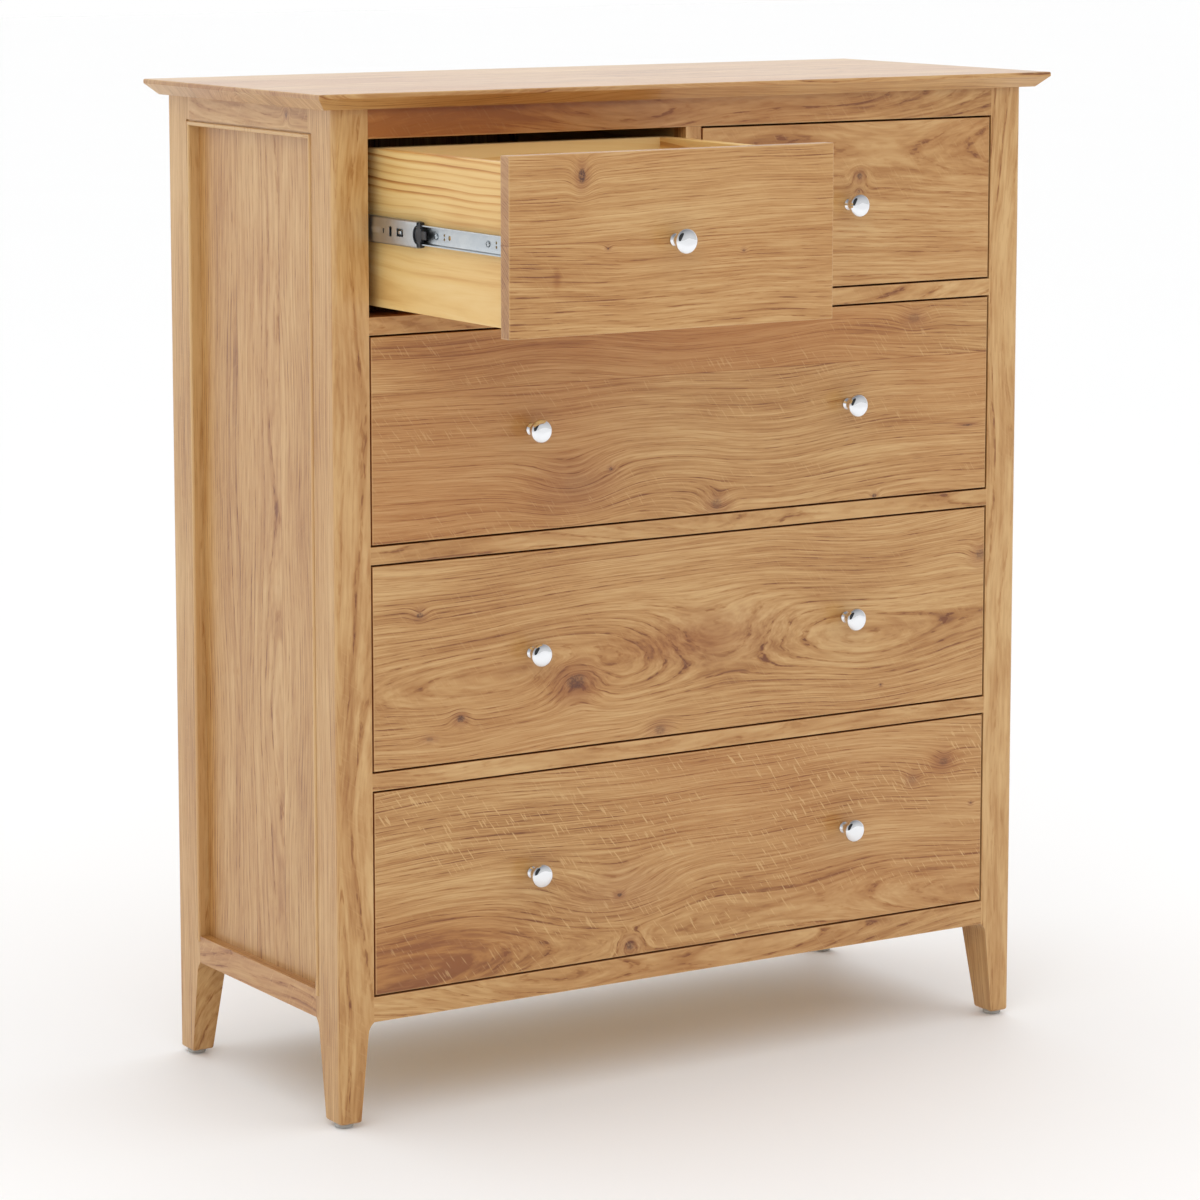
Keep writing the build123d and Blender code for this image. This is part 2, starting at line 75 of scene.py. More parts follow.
class Wire:
    """An output of a shader graph, which Python arithmetic builds on."""

    def __init__(self, graph, socket):
        self.graph = graph
        self.socket = socket

    __add__, __radd__ = arithmetic("ADD"), arithmetic("ADD", True)
    __sub__, __rsub__ = arithmetic("SUBTRACT"), arithmetic("SUBTRACT", True)
    __mul__, __rmul__ = arithmetic("MULTIPLY"), arithmetic("MULTIPLY", True)
    __pow__, __rpow__ = arithmetic("POWER"), arithmetic("POWER", True)
    __truediv__, __gt__ = arithmetic("DIVIDE"), arithmetic("GREATER_THAN")
    __abs__, floor, fraction = arithmetic("ABSOLUTE"), arithmetic("FLOOR"), arithmetic("FRACT")
    least, most = arithmetic("MINIMUM"), arithmetic("MAXIMUM")

    def __neg__(self):
        return self * -1.0

    def rise(self, low, high):
        """0 up to low, 1 from high on, and a smooth step between."""
        return self.graph.node("MapRange", {"interpolation_type": "SMOOTHSTEP"},
                               {"Value": self, "From Min": low, "From Max": high})

    def split(self):
        """The three parts of a vector or a colour."""
        parts = self.graph.tree.nodes.new("ShaderNodeSeparateXYZ")
        self.graph.tree.links.new(self.socket, parts.inputs[0])
        return [Wire(self.graph, socket) for socket in parts.outputs]


class Graph:
    """The shader graph of a material or a world."""

    def __init__(self, owner):
        self.owner = owner
        owner.use_nodes = True
        self.tree = owner.node_tree
        self.tree.nodes.clear()

    def node(self, kind, settings=None, inputs=None, output=0):
        """A new node with its settings, then its sockets' values or links; gives one output."""
        node = self.tree.nodes.new("ShaderNode" + kind)
        for key, value in (settings or {}).items():
            if key == "stops":
                self.set_stops(node.color_ramp, value)
            else:
                setattr(node, key, value)
        for key, value in (inputs or {}).items():
            if isinstance(value, Wire):
                self.tree.links.new(value.socket, node.inputs[key])
            else:
                node.inputs[key].default_value = value
        return Wire(self, node.outputs[output]) if node.outputs else None

    @staticmethod
    def set_stops(ramp, stops):
        while len(ramp.elements) < len(stops):
            ramp.elements.new(1.0)
        for element, (place, colour) in zip(ramp.elements, stops):
            element.position = place
            element.color = colour

    def place(self):
        """X, Y and Z on the chest, in millimetres."""
        return [part / MM for part in self.node("TexCoord", output="Object").split()]

    def noise(self, place, size, detail, rough, output="Fac"):
        """Noise whose features are as long as size along each part of place."""
        parts = {axis: part / length for axis, (part, length) in enumerate(zip(place, size))}
        return self.node("TexNoise", {}, {"Vector": self.node("CombineXYZ", {}, parts),
                                          "Scale": 1.0, "Detail": detail, "Roughness": rough},
                         output)

    def luck(self, number, output="Value"):
        """A random value or colour that belongs to a whole number."""
        return self.node("TexWhiteNoise", {"noise_dimensions": "1D"}, {"W": number}, output)

    def ramp(self, value, stops):
        return self.node("ValToRGB", {"stops": stops}, {0: value})

    def mix(self, share, first, second, mode="MIX"):
        """Two colours mixed."""
        return self.node("Mix", {"data_type": "RGBA", "blend_type": mode},
                         {0: share, 6: first, 7: second}, 2)

    def bump(self, height, depth, strength):
        return self.node("Bump", {}, {"Height": height, "Distance": depth, "Strength": strength},
                         "Normal")

    def surface(self, **sockets):
        """The Principled shader; the sockets' names have underscores for spaces."""
        named = {key.replace("_", " "): value for key, value in sockets.items()}
        shader = self.node("BsdfPrincipled", {}, named)
        self.node("OutputMaterial", {}, {"Surface": shader})
        return self.owner


# Sizes and colours a maker would change ------------------------------------------------------


def colour_property(name, default, description):
    return bpy.props.FloatVectorProperty(name=name, description=description, default=default,
                                         size=4, min=0.0, max=1.0, subtype="COLOR")


def number_property(name, default, description, **options):
    return bpy.props.FloatProperty(name=name, description=description, default=default, **options)


def length_property(*facts):
    return number_property(*facts, unit="LENGTH", precision=4)


def share_property(*facts):
    return number_property(*facts, min=0.0, max=3.0, subtype="FACTOR")


class ChestOak(bpy.types.PropertyGroup):
    """The lacquered oak."""
    pale: colour_property("Pale", srgb(211, 171, 114), "Sapwood and the palest latewood")
    middle: colour_property("Middle", srgb(191, 144, 85), "The wood's usual colour")
    tan: colour_property("Tan", srgb(166, 113, 52), "Earlywood bands")
    brown: colour_property("Brown", srgb(118, 62, 12), "The deepest streaks and pores")
    ruddy: colour_property("Ruddy", srgb(176, 106, 36), "The warm tint of some boards")
    knot: colour_property("Knot", srgb(72, 30, 8), "The heart of a knot")
    # Painted shade: the dark colour laid on the edges hidden in the gaps, for the shade there
    edge: colour_property("Edge", srgb(150, 70, 26), "Stain on the hidden edges in the gaps")
    ring_width: length_property("Ring width", 0.0038, "Width of one year's growth")
    roughness: share_property("Roughness", 0.42, "Roughness of the satin lacquer")
    lacquer: share_property("Lacquer", 0.50, "How much the lacquer shines over the wood")


class ChestPine(bpy.types.PropertyGroup):
    """The bare pine of the drawer boxes."""
    pale: colour_property("Pale", srgb(238, 210, 146), "Earlywood")
    middle: colour_property("Middle", srgb(230, 194, 124), "The wood's usual colour")
    tan: colour_property("Tan", srgb(206, 154, 82), "Latewood")
    brown: colour_property("Brown", srgb(164, 106, 46), "The darkest latewood lines")
    ruddy: colour_property("Ruddy", srgb(220, 150, 90), "Resinous streaks")
    knot: colour_property("Knot", srgb(120, 66, 30), "The heart of a knot")
    ring_width: length_property("Ring width", 0.0095, "Width of one year's growth")
    roughness: share_property("Roughness", 0.5, "Roughness of the thin coat")
    lacquer: share_property("Lacquer", 0.08, "How much the coat shines over the wood")


class ChestFittings(bpy.types.PropertyGroup):
    """Knobs, slides, screws and glides."""
    chrome: colour_property("Chrome", (0.86, 0.87, 0.89, 1.0), "Polished chrome plate")
    zinc: colour_property("Zinc", (0.46, 0.50, 0.53, 1.0), "Bright zinc plate")
    stop_plastic: colour_property("Slide stops", (0.012, 0.012, 0.014, 1.0), "Black acetal")
    glide_plastic: colour_property("Glides", (0.46, 0.45, 0.42, 1.0), "Grey moulded plastic")
    knob_neck: length_property("Knob neck", 0.0040, "Radius of a knob's neck")
    knob_foot: length_property("Knob foot", 0.0063, "Radius of a knob's foot")
    sheet: length_property("Sheet", 0.0012, "Thickness of the slides' rolled steel")
    screw_head: length_property("Screw head", 0.0034, "Radius of a screw's head")
    ball: length_property("Ball", 0.0012, "Radius of a slide's balls")


class ChestStudio(bpy.types.PropertyGroup):
    """Floor, lights and camera."""
    floor: colour_property("Floor", (0.93, 0.93, 0.93, 1.0), "Pale floor")
    horizon: share_property("Horizon", 0.30, "Brightness of the surround's light at eye level")
    zenith: share_property("Zenith", 1.50, "Brightness of the surround's light overhead")
    key: number_property("Key light", 20.0, "Power of the large light on the left", unit="POWER")
    fill: number_property("Fill light", 10.0, "Power of the light on the right", unit="POWER")
    lens: number_property("Lens", 128.8, "Focal length in millimetres", unit="CAMERA")
    turn: number_property("Turn", math.radians(32.17),
                          "Angle between the view and the chest's depth", subtype="ANGLE")
    tilt: number_property("Tilt", math.radians(8.13), "How far the camera looks down",
                          subtype="ANGLE")
    stand_left: length_property("Stand left", 2.0226, "Camera's distance left of the front leg")
    stand_off: length_property("Stand off", 3.7095, "Camera's distance in front of the chest")
    stand_high: length_property("Stand high", 1.2699, "Camera's height above the floor")
    shift: number_property("Shift", -0.10, "Vertical lens shift")


# Wood ----------------------------------------------------------------------------------------

# How long wood's features are along the grain, across it and through the board, in millimetres
DRIFT = (430.0, 480.0, 480.0)
WAVE = (150.0, 60.0, 60.0)
RIPPLE = (42.0, 11.0, 11.0)
CLOUD = (190.0, 55.0, 55.0)
RAY = (2.6, 17.0, 17.0)
GRIT = (1.7, 1.7, 1.7)

# The same for the features that follow the rings: along, from ring to ring, and round them
STREAK = (190.0, 5.0, 22.0)
FIBRE = (22.0, 0.8, 6.0)
THREAD = (80.0, 1.5, 12.0)

# How far waves and ripples push the rings, and how far apart in the tree staves and boards lie
WAVE_PUSH = 9.0
RIPPLE_PUSH = 0.9
STAVE_SHIFT = 90.0
STAVE_STEP = 1700.0
SEED_STEP = 311.0
RAY_SLANT = 0.7

# Depth of the open pores, in metres, and the coat's own roughness
PORE_DEPTH = 0.00022
COAT_ROUGHNESS = 0.32


class Board:
    """How a piece was sawn: the way its grain runs, where its heart lies, its joints and knots.

    grain names the axes along the grain, across the board's face and through it. heart is the
    middle of the tree's rings, across and through, in millimetres. joints are the places across
    the board where its staves meet. A knot is its place along, its place across, its radius, how
    many times longer it is along the grain, and how dark it is; a knot with no darkness is a swirl.
    Where faint is given, pine's lines are faint across the board before it and full beyond it.
    sealed is how much its edges and ends, the faces hidden in the gaps, are darkened with
    painted shade. A stain is its place along, its place across, its half sizes along and across,
    and its strength.
    """

    joints, knots, stains, faint, sealed = (), (), (), None, 0.0
    wander, tone, ring, fleck, streak, ruddy = (60.0, 45.0), 0.0, 1.0, 0.35, 1.0, 0.25

    def __init__(self, grain, heart, seed, **choices):
        self.grain, self.heart, self.seed = grain, heart, seed
        vars(self).update(choices)


class Timber:
    """The shader graph of a sawn board, from its growth rings to its lacquer."""

    def __init__(self, name, look, board, pored):
        self.graph = Graph(bpy.data.materials.new(name))
        self.look = look
        self.board = board
        self.pored = pored
        self.place = self.graph.place()
        order = ["XYZ".index(letter) for letter in board.grain]
        self.end_axis = order[0]
        self.along, self.across, self.deep = (self.place[index] for index in order)
        self.chances = [0.5, 0.5, 0.5]
        if board.joints:
            stave = sum((self.across > joint for joint in board.joints), board.seed)
            self.chances = self.graph.luck(stave, "Color").split()
        self.run = self.along + self.chances[0] * STAVE_STEP + board.seed * SEED_STEP
        self.drift = self.still(DRIFT, 1.0, 0.4, "Color").split()
        self.wave = self.still(WAVE, 1.0, 0.5) - 0.5
        self.ripple = self.still(RIPPLE, 1.0, 0.5) - 0.5
        self.cloud = self.still(CLOUD, 2.0, 0.5)
        self.set_rings()
        self.set_knots()
        self.streak = self.ringed(STREAK, 4.0, 0.6)
        self.fibre = self.ringed(FIBRE, 2.0, 0.6)
        self.thread = self.ringed(THREAD, 2.0, 0.7)
        self.stain = self.stains()

    def still(self, size, detail, rough, output="Fac"):
        """Noise that lies in the board."""
        place = (self.run, self.across, self.deep)
        return self.graph.noise(place, size, detail, rough, output)

    def ringed(self, size, detail, rough):
        """Noise that follows the rings."""
        return self.graph.noise((self.run, self.radius, self.to_side), size, detail, rough)

    def set_rings(self):
        """Finds how far each point lies from a heart that wanders along the tree."""
        board = self.board
        self.to_side = (self.across - board.heart[0]
                        + (self.drift[0] - 0.5) * (2 * board.wander[0])
                        + (self.chances[1] - 0.5) * STAVE_SHIFT
                        + self.wave * WAVE_PUSH + self.ripple * RIPPLE_PUSH)
        to_depth = self.deep - board.heart[1] + (self.drift[1] - 0.5) * (2 * board.wander[1])
        self.radius = (self.to_side * self.to_side + to_depth * to_depth) ** 0.5

    def set_knots(self):
        """Bends the rings round each knot, and finds the knots' cores and halos."""
        self.cores, self.halos = 0.0, 0.0
        for knot_along, knot_across, size, stretch, dark in self.board.knots:
            off_along = (self.along - knot_along) / stretch
            off_across = self.across - knot_across
            reach = (off_along * off_along + off_across * off_across) ** 0.5
            reach = reach + (self.ripple + self.wave) * ((0.3 + dark * 0.7) * size)
            swell = math.e ** -((reach / (size * 2.8)) ** 2.0)
            self.radius = self.radius + swell * (size * 1.5)
            halo = 1 - reach.rise(size * 0.8, size * 3.4)
            self.halos = self.halos + halo * (0.45 + dark * 0.4)
            if dark:
                self.cores = self.cores + (1 - reach.rise(size * 0.55, size * 1.25)) * dark

    def stains(self):
        """The board's darker patches."""
        stain = 0.0
        for stain_along, stain_across, half_length, half_width, strength in self.board.stains:
            off_along = (self.along - stain_along) / half_length
            off_across = (self.across - stain_across) / half_width
            stain = stain + math.e ** -(off_along * off_along + off_across * off_across) * strength
        return stain

    def growth(self):
        """The rings' dark bands, the pores and the shade they give, from 0, pale, to 1, brown."""
        rings = self.radius / (self.look.ring_width / MM * self.board.ring)
        year = self.graph.luck(rings.floor() + self.board.seed * 7.0)
        phase = rings.fraction()
        if self.pored:
            band = (1 - phase.rise(0.08, 0.42)) * phase.rise(0.0, 0.08) * (0.3 + year * 0.7)
            pores = self.fibre.rise(0.50, 0.64) * (0.25 + band * 0.9)
            shade = (0.33 + band * (0.13 + self.cloud.rise(0.3, 0.7) * 0.18) + pores * 0.40
                     + (year - 0.5) * 0.10 + (self.thread - 0.5) * 1.15)
        else:
            band = phase.rise(0.40, 0.92) * (1 - phase.rise(0.95, 1.0)) * (0.25 + year * 0.75)
            pores = self.fibre.rise(0.5, 0.9) * 0.3
            if self.board.faint:
                band = band * (0.25 + self.across.rise(*self.board.faint) * 0.75)
            shade = 0.32 + band * 0.55 + pores * 0.25 + (self.thread - 0.5) * 0.25
        return band, pores, shade

    def patches(self):
        """What streaks, clouds, stains and glued joints add to the shade."""
        shade = (self.board.tone + (self.streak - 0.5) * (0.75 * self.board.streak)
                 + (self.cloud - 0.5) * 0.62 + (self.chances[2] - 0.5) * 0.16)
        if self.board.stains:
            shade = shade + self.stain * (0.4 + self.streak * 1.2)
        for joint in self.board.joints:
            shade = shade + (1 - abs(self.across - joint).rise(0.3, 1.0)) * 0.3
        return shade

    def colour(self, shade):
        """The wood's colour, with its ruddy parts, its ray flecks and its knots."""
        graph, look, board = self.graph, self.look, self.board
        colour = graph.ramp(shade, [(0.0, look.pale), (0.36, look.middle), (0.68, look.tan),
                                    (1.0, look.brown)])
        warm = self.drift[2].rise(0.35, 0.75) * board.ruddy + self.stain * 0.7
        colour = graph.mix(warm.least(1.0), colour, look.ruddy)
        if board.fleck:
            slanted = (self.run + self.across * RAY_SLANT, self.across, self.deep)
            silver = graph.noise(slanted, RAY, 1.0, 0.5).rise(0.60, 0.72)
            silver = silver * self.cloud.rise(0.45, 0.58) * board.fleck
            if board.stains:
                silver = silver * (1 - self.stain).most(0.0)
            colour = graph.mix(silver, colour, look.pale)
        if board.knots:
            halo = self.halos.least(1.0) * (0.2 + self.thread * 0.5)
            colour = graph.mix(halo, colour, look.ruddy, "MULTIPLY")
            grit = graph.noise((self.along, self.across, self.deep), GRIT, 2.0, 0.6)
            core = self.cores.least(1.0) * (0.45 + grit.rise(0.40, 0.58) * 0.5)
            colour = graph.mix(core, colour, look.knot)
        return colour

    def arris(self, box):
        """1 on the arrises of a box-shaped piece, fading to 0 within two millimetres."""
        first, second, third = [(part - low / MM).least(high / MM - part)
                                for part, low, high in zip(self.place, *box)]
        middle = first.least(second).most(first.most(second).least(third))
        return 1 - middle.rise(0.3, 1.8)

    def material(self, box):
        """Puts the colour, the end grain, the painted shade in the gaps, the painted highlight and
        wear on the arrises, the lacquer and the pores together.
        """
        graph, look, board = self.graph, self.look, self.board
        band, pores, shade = self.growth()
        colour = self.colour(shade + self.patches())
        facing = graph.node("TexCoord", output="Normal").split()
        end = abs(facing[self.end_axis]).rise(0.7, 0.95)
        colour = graph.mix(end * 0.30, colour, look.tan, "MULTIPLY")
        lacquer = look.lacquer
        # Painted shade: faces hidden in the gaps, which don't face the front, are mixed towards a
        # dark brown and lose their lacquer, in place of the shade that falls there.
        if board.sealed:
            hidden = 1 - abs(facing[1]).rise(0.5, 0.8)
            colour = graph.mix(hidden * board.sealed, colour, look.edge)
            lacquer = (1 - hidden) * lacquer
        # Painted highlight and wear: the arrises are mixed towards the pale colour, for the light
        # that eased edges catch and for their wear.
        if box:
            colour = graph.mix(self.arris(box) * 0.35, colour, look.pale)
        rough = look.roughness + pores * 0.14 + (self.streak - 0.5) * 0.10 + band * 0.05
        height = 1 - pores * 0.8 - band * 0.25
        return graph.surface(Base_Color=colour, Roughness=rough, Coat_Weight=lacquer,
                             Coat_Roughness=COAT_ROUGHNESS,
                             Normal=graph.bump(height, PORE_DEPTH, 0.55))


def finish_wood(look, kind, node, grain, heart, seed, wear_and_highlight=False, about=None, **choices):
    """Gives a wooden piece of the frame its own board.

    The board's places are measured from the piece's middle, or from that of the node it's about.
    Pieces with wear_and_highlight are paler on their arrises, from wear and a painted highlight
    where eased edges catch the light, and oak alone has open pores.
    """
    middle = middle_of(about or node)
    along, across, deep = (middle["XYZ".index(letter)] for letter in grain)
    for lines in ("joints", "faint"):
        if lines in choices:
            choices[lines] = [across + up for up in choices[lines]]
    for marks in ("knots", "stains"):
        choices[marks] = [(along + right, across + up, *rest)
                          for right, up, *rest in choices.get(marks, ())]
    board = Board(grain, (across + heart[0], deep + heart[1]), seed, **choices)
    timber = Timber(f"{kind}_{node}", look, board, pored=kind == "oak")
    finish_node(node, timber.material(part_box(node) if wear_and_highlight else None))


def finish_node(node, material):
    """Puts a finish on a piece of the frame."""
    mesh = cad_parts[node].data
    mesh.materials.clear()
    mesh.materials.append(material)


def middle_of(node):
    """The middle of a node's box, in millimetres."""
    low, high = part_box(node)
    return (low + high) / 2 / MM


# Modelling -----------------------------------------------------------------------------------


def deselect_all():
    """Leaves edit mode with nothing selected."""
    if bpy.context.object and bpy.context.object.mode != "OBJECT":
        bpy.ops.object.mode_set(mode="OBJECT")
    bpy.ops.object.select_all(action="DESELECT")


def pick(piece):
    """Leaves one piece selected and active."""
    deselect_all()
    piece.select_set(True)
    bpy.context.view_layer.objects.active = piece


def edit_all():
    """Goes into edit mode with the whole mesh selected."""
    bpy.ops.object.mode_set(mode="EDIT")
    bpy.ops.mesh.select_all(action="SELECT")


def close_shape():
    """Turns all faces outwards and leaves edit mode."""
    bpy.ops.mesh.select_all(action="SELECT")
    bpy.ops.mesh.normals_make_consistent(inside=False)
    bpy.ops.object.mode_set(mode="OBJECT")


def smooth(piece, degrees=35.0):
    """Shades a piece smooth, but for edges sharper than so many degrees."""
    pick(piece)
    bpy.ops.object.shade_smooth_by_angle(angle=math.radians(degrees))


def apply_modifiers(piece):
    pick(piece)
    for modifier in list(piece.modifiers):
        bpy.ops.object.modifier_apply(modifier=modifier.name)


def turned(name, profile, sides=48):
    """A turned piece that stands on the origin along +Z: profile is its (height, radius) pairs."""
    deselect_all()
    height, radius = profile[0]
    bpy.ops.mesh.primitive_circle_add(vertices=sides, radius=radius, fill_type="NGON",
                                      location=(0, 0, height))
    piece = bpy.context.object
    bpy.ops.object.transform_apply(location=True)
    piece.name = name
    edit_all()
    for next_height, next_radius in profile[1:]:
        bpy.ops.mesh.extrude_region_move(
            TRANSFORM_OT_translate={"value": (0, 0, next_height - height)})
        share = next_radius / radius
        bpy.ops.transform.resize(value=(share, share, 1))
        height, radius = next_height, next_radius
    close_shape()
    smooth(piece)
    return piece


def rolled(name, outline, start, length, sheet):
    """Sheet steel rolled to an outline of (x, z) points and run along Y from start."""
    deselect_all()
    bpy.ops.mesh.primitive_plane_add(size=MM, location=(0, 0, 0))
    piece = bpy.context.object
    piece.name = name
    edit_all()
    bpy.ops.mesh.merge(type="CENTER")
    x, z = outline[0]
    bpy.ops.transform.translate(value=(x, start, z))
    for next_x, next_z in outline[1:]:
        bpy.ops.mesh.extrude_region_move(
            TRANSFORM_OT_translate={"value": (next_x - x, 0, next_z - z)})
        x, z = next_x, next_z
    bpy.ops.mesh.select_all(action="SELECT")
    bpy.ops.mesh.extrude_region_move(TRANSFORM_OT_translate={"value": (0, length, 0)})
    close_shape()
    skin = piece.modifiers.new("sheet", "SOLIDIFY")
    skin.thickness = sheet
    skin.offset = 0.0
    apply_modifiers(piece)
    return piece


def block(name, low, high, soften=0.0):
    """A box from its lowest to its highest corner, with its edges rounded."""
    deselect_all()
    middle = (Vector(low) + Vector(high)) / 2
    bpy.ops.mesh.primitive_cube_add(size=1, location=middle, scale=Vector(high) - Vector(low))
    piece = bpy.context.object
    piece.name = name
    bpy.ops.object.transform_apply(location=True, scale=True)
    if soften:
        edit_all()
        bpy.ops.mesh.bevel(offset=soften, segments=2, affect="EDGES")
        bpy.ops.object.mode_set(mode="OBJECT")
    return piece


def block_from(place, name, low, high, soften):
    """The same, measured in millimetres from a place."""
    return block(name, [start + part * MM for start, part in zip(place, low)],
                 [start + part * MM for start, part in zip(place, high)], soften * MM)


def peg(middle, radius, length):
    """A round tool along X, for drilling."""
    deselect_all()
    bpy.ops.mesh.primitive_cylinder_add(vertices=24, radius=radius, depth=length, location=middle,
                                        rotation=(0, math.pi / 2, 0))
    bpy.ops.object.transform_apply(location=True, rotation=True)
    return bpy.context.object


def cut(piece, *tools):
    """Cuts the tools' shapes out of a piece and throws the tools away."""
    for tool in tools:
        hole = piece.modifiers.new("cut", "BOOLEAN")
        hole.operation = "DIFFERENCE"
        hole.solver = "EXACT"
        hole.object = tool
        apply_modifiers(piece)
        bpy.data.objects.remove(tool)
    return piece


def copy_to(source, name, matrix):
    """A copy with its own mesh, put in place."""
    copy = source.copy()
    copy.data = source.data.copy()
    copy.name = name
    bpy.context.scene.collection.objects.link(copy)
    copy.data.transform(matrix)
    return copy


def mirrored(source, name, plane_x):
    """A copy reflected in the plane at plane_x, with its faces turned outwards again."""
    reflect = Matrix.Translation((2 * plane_x, 0, 0)) @ Matrix.Scale(-1, 4, (1, 0, 0))
    copy = copy_to(source, name, reflect)
    copy.data.flip_normals()
    return copy


def joined(name, pieces):
    """Several pieces made one, under one name."""
    deselect_all()
    for piece in pieces:
        piece.select_set(True)
    bpy.context.view_layer.objects.active = pieces[0]
    if len(pieces) > 1:
        bpy.ops.object.join()
    pieces[0].name = name
    pieces[0].data.name = name
    return pieces[0]


def finish_piece(piece, body, slot, material, *nodes):
    """Paints a new piece, hangs it on its body and hides the nodes it stands for."""
    piece.data.materials.clear()
    piece.data.materials.append(material)
    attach(piece, body)
    if nodes:
        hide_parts(*nodes)
    return piece


# Oak -----------------------------------------------------------------------------------------


class CHEST_OT_drawer_fronts(bpy.types.Operator):
    """Give each drawer front its own oak board"""
    bl_idname = "chest.drawer_fronts"
    bl_label = "Drawer fronts"

    boards = {
        "drawer_top_left": dict(
            heart=(-120, 120), seed=3, joints=(2,), ring=0.7, fleck=0.1,
            wander=(14, 12), streak=0.8,
            stains=((-60, 84, 120, 16, 0.12), (-133, -32, 4, 9, 0.3)),
            knots=((-105, 66, 7.0, 0.55, 1.0), (-76, -5, 1.5, 1.3, 0.9),
                   (80, -14, 1.4, 1.3, 0.9))),
        "drawer_top_right": dict(
            heart=(60, 120), seed=8, sealed=0.75, tone=0.05, ring=0.85, fleck=0.2,
            wander=(24, 20),
            knots=((14, 29, 4.0, 1.0, 0.8), (13, 13, 2.2, 1.1, 0.7))),
        "drawer_upper": dict(
            heart=(-150, 55), seed=12, sealed=0.75, joints=(45,), tone=0.12,
            fleck=0.4, wander=(48, 20), streak=1.2, ruddy=0.4,
            # The first entry darkens a long band along the top of the front.
            stains=((-60, 88, 330, 24, 0.22), (-230, -70, 120, 30, 0.12)),
            knots=((-101, -48, 1.6, 1.4, 0.9), (-142, -62, 13.0, 1.7, 0.12),
                   (30, -95, 6.0, 1.3, 0.5), (234, -102, 2.2, 1.3, 0.9),
                   (358, -34, 1.5, 6.0, 0.8), (285, 87, 5.0, 1.6, 0.35))),
        "drawer_middle": dict(
            heart=(-17, 44), seed=21, sealed=0.75, ring=0.95, fleck=0.15,
            wander=(34, 24),
            stains=((-20, -8, 70, 16, 0.35), (-144, -37, 40, 18, 0.25)),
            knots=((-329, 51, 3.2, 1.3, 0.9), (-144, -37, 10.0, 1.3, 0.8),
                   (-282, -60, 3.6, 1.2, 0.9), (30, -6, 14.0, 2.8, 0.0),
                   (378, 53, 6.0, 1.2, 0.5), (-40, -98, 5.5, 1.4, 0.5),
                   (245, -79, 1.2, 1.2, 0.9), (-318, -78, 2.2, 2.2, 0.4))),
        "drawer_lower": dict(
            heart=(-80, 55), seed=33, sealed=0.75, tone=0.02, fleck=0.75,
            wander=(34, 26), ruddy=0.35,
            stains=((-310, -72, 110, 40, 0.50), (331, 58, 28, 14, 0.30),
                    (200, -60, 160, 20, 0.10)),
            knots=((-77, -95, 5.0, 1.2, 0.8), (-90, -38, 2.2, 1.6, 0.9),
                   (-92, -34, 12.0, 2.4, 0.0), (331, 58, 5.0, 1.3, 0.5),
                   (289, 42, 4.0, 1.3, 0.3), (369, 7, 1.5, 1.2, 0.9))),
    }

    def execute(self, context):
        for drawer, choices in self.boards.items():
            finish_wood(context.scene.chest_oak, "oak", drawer + "_front", "XZY", wear_and_highlight=True,
                        **choices)
        return {"FINISHED"}


class CHEST_OT_frame(bpy.types.Operator):
    """Finish the legs, the rails and the centre stile"""
    bl_idname = "chest.frame"
    bl_label = "Legs and rails"

    legs = ("leg_front_left", "leg_front_right", "leg_back_left", "leg_back_right")
    # Each rail's tone, its ruddy share and its stains. The top rail's make it darker and redder
    # than the others, most of all on its left half.
    rails = {"front_top_rail": (0.14, 0.6, [(-330, 0, 190, 60, 0.40)]),
             "upper_drawer_rail": (-0.04, 0.15, []), "middle_drawer_rail": (-0.02, 0.15, []),
             "lower_drawer_rail": (0.0, 0.15, []), "front_bottom_rail": (0.0, 0.15, [])}

    def execute(self, context):
        look = context.scene.chest_oak
        for count, node in enumerate(self.legs):
            finish_wood(look, "oak", node, "ZXY", (30, 150), 41 + count, wander=(14, 12),
                        fleck=0.15, tone=-0.10, streak=1.1, ruddy=0.12)
        for count, (node, (tone, ruddy, stains)) in enumerate(self.rails.items()):
            finish_wood(look, "oak", node, "XZY", (14, 60), 51 + 3 * count, wear_and_highlight=True,
                        wander=(26, 20), ring=0.7, fleck=0.15, tone=tone, streak=0.7, ruddy=ruddy,
                        sealed=0.7, stains=stains)
        finish_wood(look, "oak", "centre_stile", "ZXY", (12, 80), 68, wander=(12, 10), ring=0.6,
                    tone=-0.02)
        return {"FINISHED"}


class CHEST_OT_sides(bpy.types.Operator):
    """Finish the side rails, the side panels and their beads"""
    bl_idname = "chest.sides"
    bl_label = "Sides"

    def execute(self, context):
        look = context.scene.chest_oak
        for count, side in enumerate(("left", "right")):
            for row, rail in enumerate(("side_bottom_rail_", "side_top_rail_")):
                finish_wood(look, "oak", rail + side, "YZX", (18, 70), 71 + 5 * count + row,
                            wander=(18, 16), ring=0.7, knots=[(-85, 6, 3.0, 0.8, 0.7)] * row)
            finish_wood(look, "oak", "side_panel_" + side, "ZYX", (-20, 130), 83 + 4 * count,
                        joints=(-45, 48), wander=(10, 10), ring=0.8, fleck=0.1, tone=-0.03,
                        streak=0.8, ruddy=0.1)
        # Painted light: the beads are made far paler than the other oak, for light their recess
        # lacks.
        finish_wood(look, "oak", "side_beads", "ZYX", (-middle_of("side_beads")[1], 60), 97,
                    wander=(10, 8), ring=0.5, fleck=0.0, tone=-0.5)
        return {"FINISHED"}


class CHEST_OT_top(bpy.types.Operator):
    """Finish the top, glued up from several boards"""
    bl_idname = "chest.top"
    bl_label = "Top"

    def execute(self, context):
        finish_wood(context.scene.chest_oak, "oak", "top_panel", "XYZ", (10, -80), 101, wear_and_highlight=True,
                    joints=(-100.5, -14.5, 88.5), wander=(45, 30), ring=0.9, fleck=0.2,
                    knots=[(-210, 80, 3.2, 1.3, 0.8), (265, -60, 2.4, 1.3, 0.8)])
        return {"FINISHED"}


# Pine and boards -----------------------------------------------------------------------------


